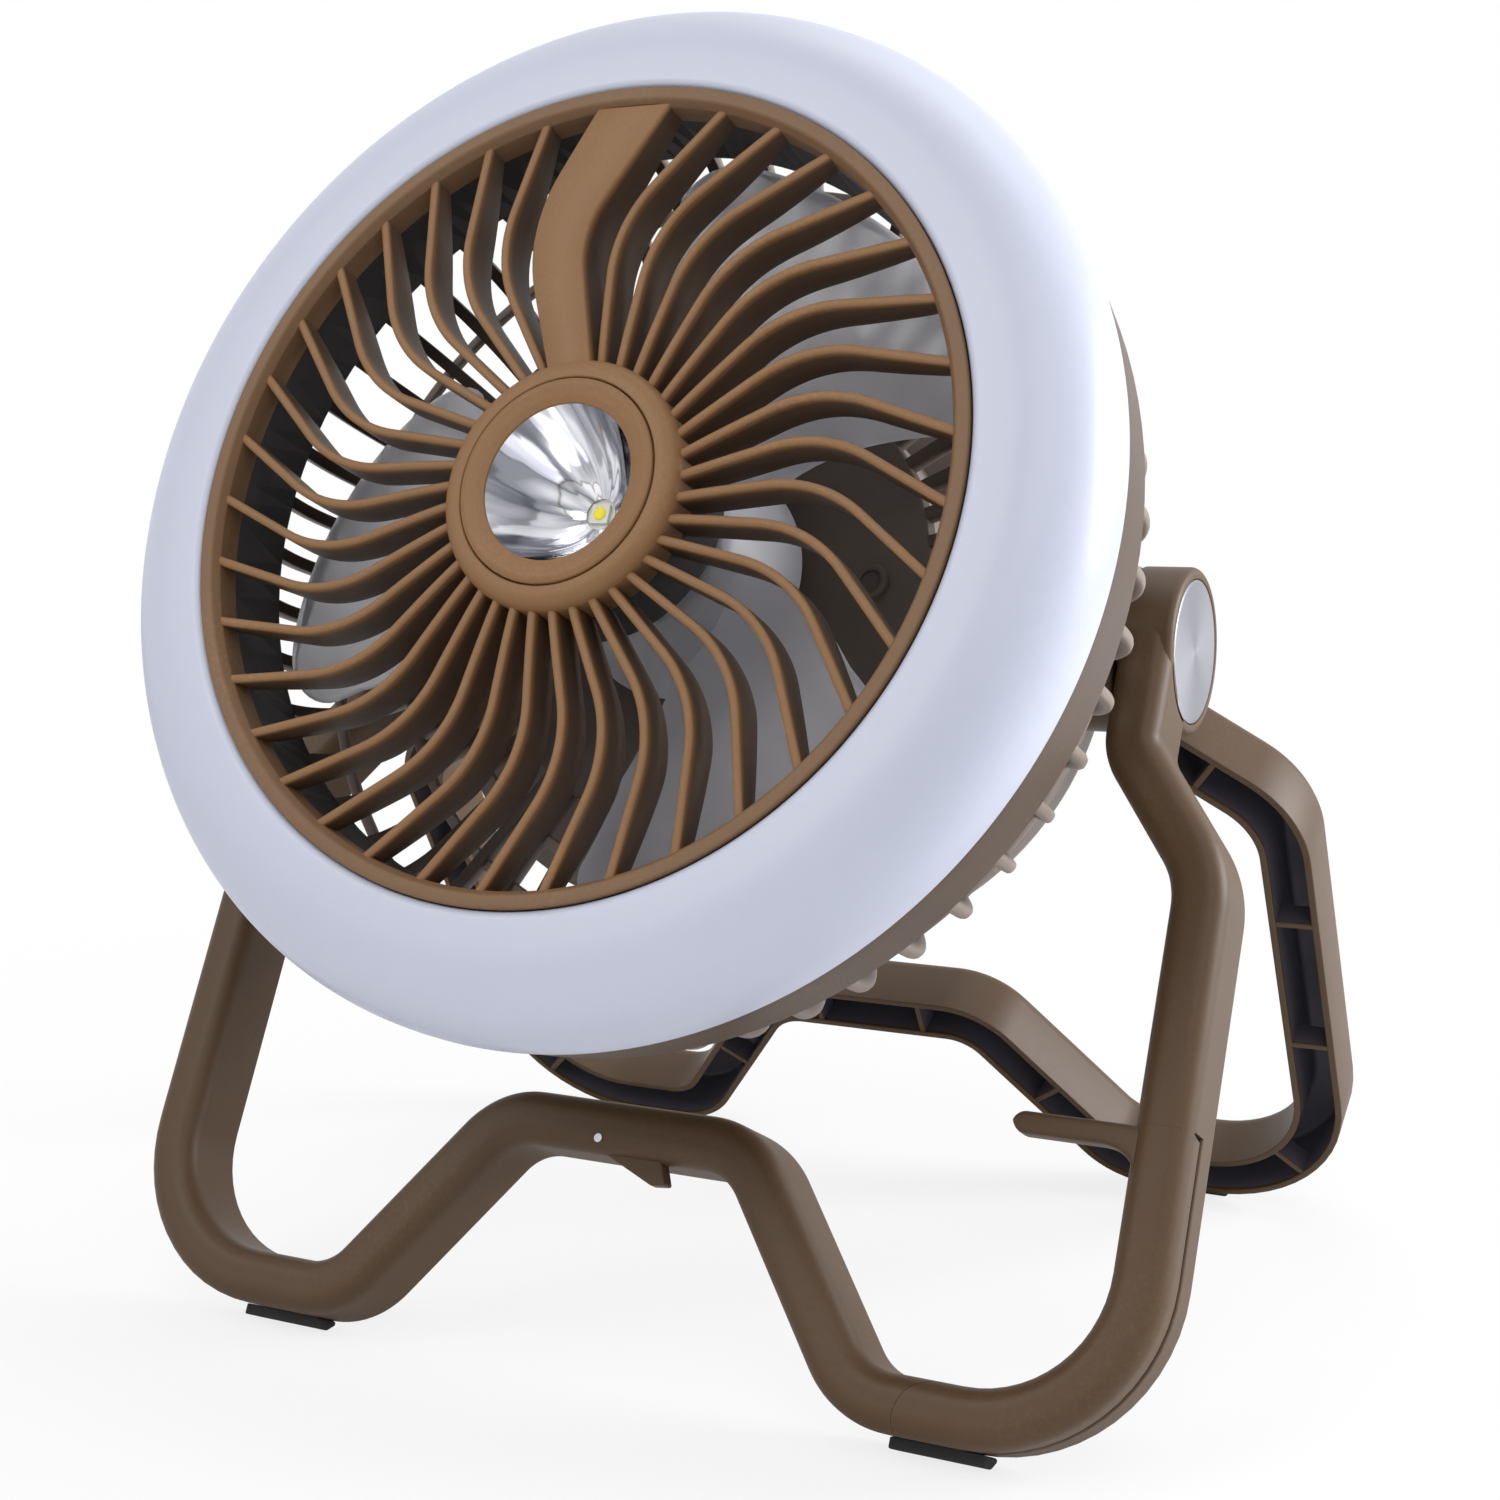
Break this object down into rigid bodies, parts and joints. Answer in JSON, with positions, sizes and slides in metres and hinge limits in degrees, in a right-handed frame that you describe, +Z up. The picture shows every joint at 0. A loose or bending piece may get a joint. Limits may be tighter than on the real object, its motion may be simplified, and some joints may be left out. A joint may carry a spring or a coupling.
{
  "type": "portable fan",
  "caption": "Portable camping fan: a round tilting fan head with a light ring and spotlight, on two folding stand frames with a swing-out hanging hook.",
  "frame": {"origin": "on the floor, under the middle of the fan's width and depth", "axes": "+Z up, the fan blows towards -Y, +X to the right of someone who faces the front"},
  "size_m": [0.2646, 0.2426, 0.3089],
  "materials": {
    "brown_plastic": "fine satin texture",
    "taupe_plastic": "fine satin texture",
    "dark_plastic": "satin",
    "milky_plastic": "milky, smooth",
    "blade_plastic": "tinted, smooth",
    "rubber": "matt",
    "brushed_metal": "brushed",
    "steel": "plain",
    "polished_metal": "mirror polish",
    "board": "coated board",
    "emitter": "phosphor",
    "winding": "enamelled copper wire",
    "magnet": "sintered",
    "cell_wrap": "shrink wrap"
  },
  "bodies": {
    "front_stand": {"front_frame": "brown_plastic", "front_feet": "rubber", "hook_pin": "steel", "catch_pin": "steel", "pivot_caps": "brushed_metal", "pivot_pins": "steel", "front_washers": "dark_plastic"},
    "rear_stand": {"rear_frame": "brown_plastic", "rear_feet": "rubber", "rear_washers": "dark_plastic"},
    "hook": {"hanging_hook": "brown_plastic"},
    "catch": {"frame_catch": "brown_plastic"},
    "rotor": {"motor_shaft": "steel", "motor_magnet": "magnet", "impeller": "blade_plastic"},
    "fan_key": {"fan_button": "rubber"},
    "light_key": {"light_button": "rubber"},
    "head": {"head_rim": "brown_plastic", "light_diffuser": "milky_plastic", "ring_board": "board", "ring_emitters": "emitter", "front_grille": "brown_plastic", "spot_bezel": "brown_plastic", "spot_reflector": "polished_metal", "spot_board": "board", "spot_emitter": "emitter", "air_duct": "dark_plastic", "rear_cage": "dark_plastic", "drum_housing": "taupe_plastic", "drum_cover": "taupe_plastic", "cell_holder": "dark_plastic", "battery_cells": "cell_wrap", "control_board": "board", "charge_lights": "milky_plastic", "charge_socket": "steel", "motor_can": "steel", "motor_coils": "winding", "motor_bearings": "steel", "cover_screws": "steel", "cage_screws": "steel"}
  },
  "joints": [
    {"name": "head_tilt", "type": "hinge", "parent": "front_stand", "child": "head", "pos_m": [0, 0.01819, 0.16273], "axis": [1, 0, 0], "range_deg": [-130, 9]},
    {"name": "stand_fold", "type": "hinge", "parent": "front_stand", "child": "rear_stand", "pos_m": [0, 0.01819, 0.16273], "axis": [1, 0, 0], "range_deg": [-56, 0]},
    {"name": "rotor_spin", "type": "hinge", "parent": "head", "child": "rotor", "pos_m": [0, 0.01819, 0.16273], "axis": [0, -0.9135, 0.4067], "continuous": true},
    {"name": "hook_swing", "type": "hinge", "parent": "front_stand", "child": "hook", "pos_m": [0.088, -0.07836, 0.0094], "axis": [0, -0.8796, 0.4756], "range_deg": [-130, 0]},
    {"name": "catch_swing", "type": "hinge", "parent": "front_stand", "child": "catch", "pos_m": [-0.004, -0.05598, 0.05164], "axis": [0, -0.8796, 0.4756], "range_deg": [-80, 0]},
    {"name": "fan_press", "type": "slide", "parent": "head", "child": "fan_key", "axis": [0, -0.9135, 0.4067], "range_m": [0, 0.0008], "stiffness_N_per_m": 1500, "springref_m": -0.0003},
    {"name": "light_press", "type": "slide", "parent": "head", "child": "light_key", "axis": [0, -0.9135, 0.4067], "range_m": [0, 0.0008], "stiffness_N_per_m": 1500, "springref_m": -0.0003}
  ]
}
